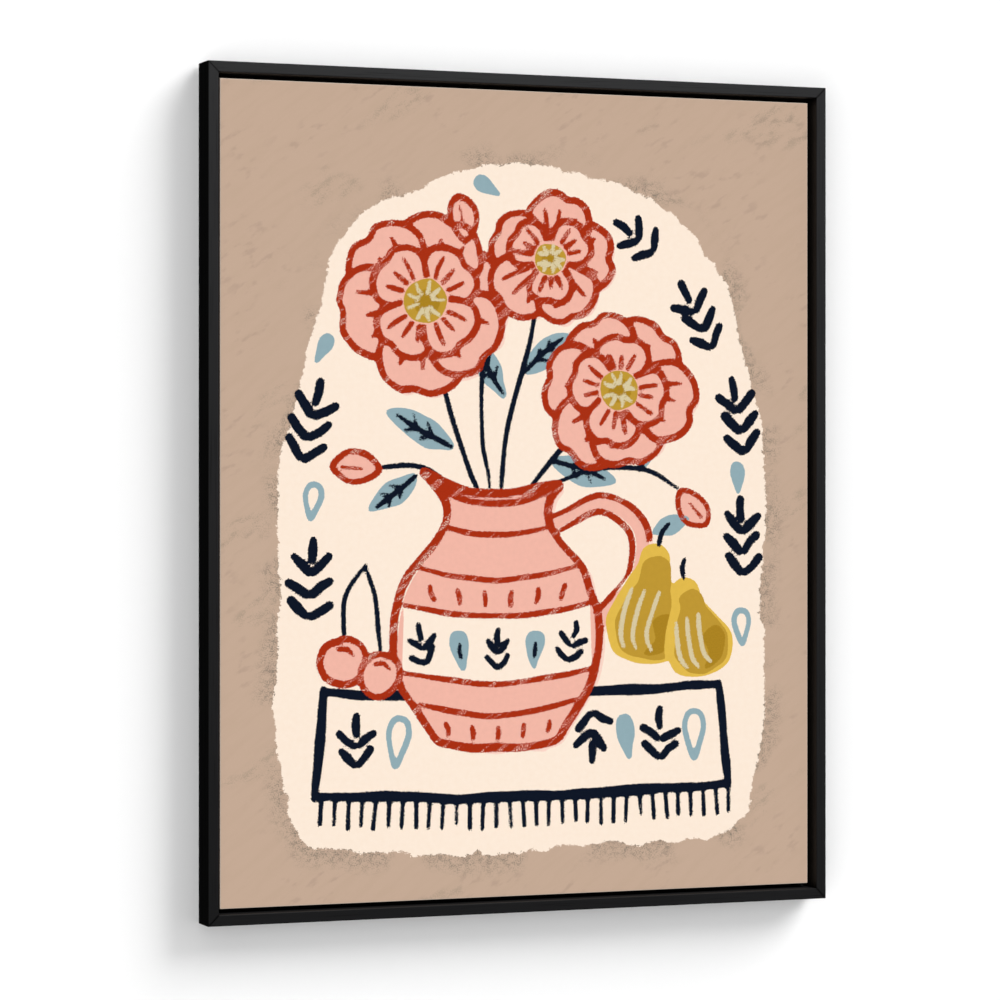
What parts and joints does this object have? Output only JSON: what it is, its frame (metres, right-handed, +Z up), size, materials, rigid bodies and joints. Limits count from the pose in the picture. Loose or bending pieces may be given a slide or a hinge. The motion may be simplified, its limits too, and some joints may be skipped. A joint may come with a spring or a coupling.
{
  "type": "framed canvas print",
  "caption": "Stretched canvas print in a thin black floater frame with a shadow gap round the canvas, hung upright on a wall by a toothed hanger.",
  "frame": {"origin": "middle of the hanger's raised face, on the plane of the wall", "axes": "+Z up the picture, +Y into the wall, -Y out of the front, +X to the right of someone who looks at it"},
  "size_m": [0.586, 0.031, 0.738],
  "materials": {
    "black_paint": "satin black paint on a wooden moulding",
    "printed_canvas": "matt printed cotton canvas",
    "pine": "bare planed pine",
    "zinc_steel": "zinc-plated steel",
    "black_felt": "black felt"
  },
  "bodies": {
    "root": {"frame_top": "black_paint", "frame_right": "black_paint", "frame_bottom": "black_paint", "frame_left": "black_paint", "canvas": "printed_canvas", "stretcher_top": "pine", "stretcher_right": "pine", "stretcher_bottom": "pine", "stretcher_left": "pine", "cross_bar": "pine", "hanger": "zinc_steel", "hanger_nail_left": "zinc_steel", "hanger_nail_right": "zinc_steel", "screw_top_1": "zinc_steel", "screw_top_2": "zinc_steel", "screw_right_1": "zinc_steel", "screw_right_2": "zinc_steel", "screw_bottom_1": "zinc_steel", "screw_bottom_2": "zinc_steel", "screw_left_1": "zinc_steel", "screw_left_2": "zinc_steel", "pad_left": "black_felt", "pad_right": "black_felt"}
  },
  "joints": []
}
